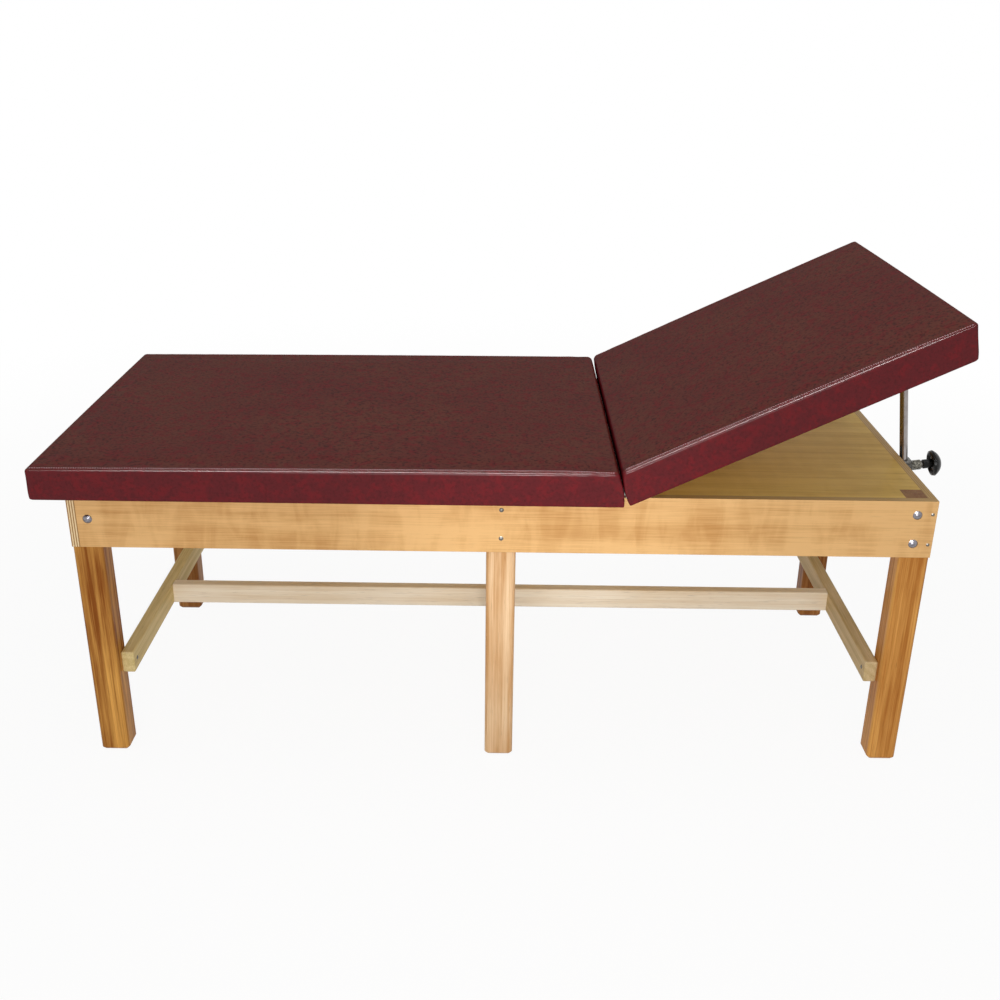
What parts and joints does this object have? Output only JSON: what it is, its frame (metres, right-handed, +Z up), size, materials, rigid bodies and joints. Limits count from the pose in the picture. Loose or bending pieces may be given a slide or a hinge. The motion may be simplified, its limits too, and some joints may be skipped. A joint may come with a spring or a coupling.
{
  "type": "bariatric treatment table",
  "caption": "Wide wooden treatment table on square legs with stretchers, a padded vinyl top and a hinged back section held by a rod in a knob-locked swivel clamp.",
  "frame": {"origin": "on the floor under the middle of the overall length and width, with the back section raised as pictured", "axes": "+X from the foot end to the head end, +Y from the front side to the back, +Z up"},
  "size_m": [2.0225, 0.851, 1.0426],
  "materials": {
    "rail_ply": "satin",
    "deck_ply": "satin",
    "leg_wood": "satin",
    "stretcher_wood": "satin",
    "inner_wood": "matte",
    "board_ply": "matte",
    "foam": "matte",
    "vinyl": "satin",
    "bolt_steel": "polished",
    "screw_steel": "satin",
    "hinge_steel": "satin",
    "bracket_steel": "satin",
    "rod_chrome": "polished",
    "tip_brass": "satin",
    "knob_plastic": "gloss"
  },
  "bodies": {
    "frame": {"back_rail": "rail_ply", "clamp_bracket": "bracket_steel", "clamp_bracket_screws": "screw_steel", "corner_screws": "screw_steel", "deck_bearer": "inner_wood", "deck_end_cleats": "inner_wood", "deck_panel": "deck_ply", "deck_side_cleats": "inner_wood", "foot_end_rail": "rail_ply", "foot_stretcher": "stretcher_wood", "front_rail": "rail_ply", "head_end_rail": "rail_ply", "head_stretcher": "stretcher_wood", "hinge_leaf_seat": "hinge_steel", "hinge_pin": "hinge_steel", "hinge_screws_seat": "screw_steel", "leg_back_foot": "leg_wood", "leg_back_head": "leg_wood", "leg_back_middle": "leg_wood", "leg_front_foot": "leg_wood", "leg_front_head": "leg_wood", "leg_front_middle": "leg_wood", "long_stretcher": "stretcher_wood", "long_stretcher_screws": "screw_steel", "middle_leg_screws": "screw_steel", "rail_bolt_nuts": "bolt_steel", "rail_bolt_washers": "bolt_steel", "rail_bolts": "bolt_steel", "seat_board": "board_ply", "seat_board_screws": "screw_steel", "seat_cover": "vinyl", "seat_foam": "foam", "stretcher_screws": "screw_steel"},
    "backrest": {"back_board": "board_ply", "back_foam": "foam", "back_cover": "vinyl", "hinge_leaf_back": "hinge_steel", "hinge_screws_back": "screw_steel", "rod_bracket": "bracket_steel", "rod_bracket_screws": "screw_steel", "rod_pivot_pin": "bracket_steel"},
    "rod": {"support_rod": "rod_chrome", "rod_end_stop": "bracket_steel"},
    "clamp": {"clamp_block": "bracket_steel", "clamp_pivot_pins": "bracket_steel"},
    "clamp_tip": {"clamp_pad": "tip_brass"},
    "knob": {"clamp_screw": "bracket_steel", "clamp_knob": "knob_plastic"}
  },
  "joints": [
    {"name": "back_hinge", "type": "hinge", "parent": "frame", "child": "backrest", "pos_m": [0.2105, 0, 0.667], "axis": [0, -1, 0], "range_deg": [-25.8, 15]},
    {"name": "rod_pivot", "type": "hinge", "parent": "backrest", "child": "rod", "pos_m": [0.87255, 0, 0.94628], "axis": [0, -1, 0], "range_deg": [-7.5, 12.9]},
    {"name": "clamp_swivel", "type": "hinge", "parent": "frame", "child": "clamp", "pos_m": [0.924, 0, 0.582], "axis": [0, -1, 0], "range_deg": [-12.9, 7.5]},
    {"name": "clamp_screw_travel", "type": "slide", "parent": "clamp", "child": "clamp_tip", "axis": [0.9902, 0, 0.1399], "range_m": [0, 0.003]},
    {"name": "knob_turn", "type": "hinge", "parent": "clamp_tip", "child": "knob", "pos_m": [0.98341, 0, 0.59039], "axis": [0.9902, 0, 0.1399], "range_deg": [0, 720]}
  ],
  "couplings": [
    {"joint": "rod_pivot", "follows": "back_hinge", "ratio": -0.5},
    {"joint": "clamp_swivel", "follows": "back_hinge", "ratio": 0.5},
    {"joint": "clamp_screw_travel", "follows": "knob_turn", "m_per_rad": 0.00023873}
  ]
}
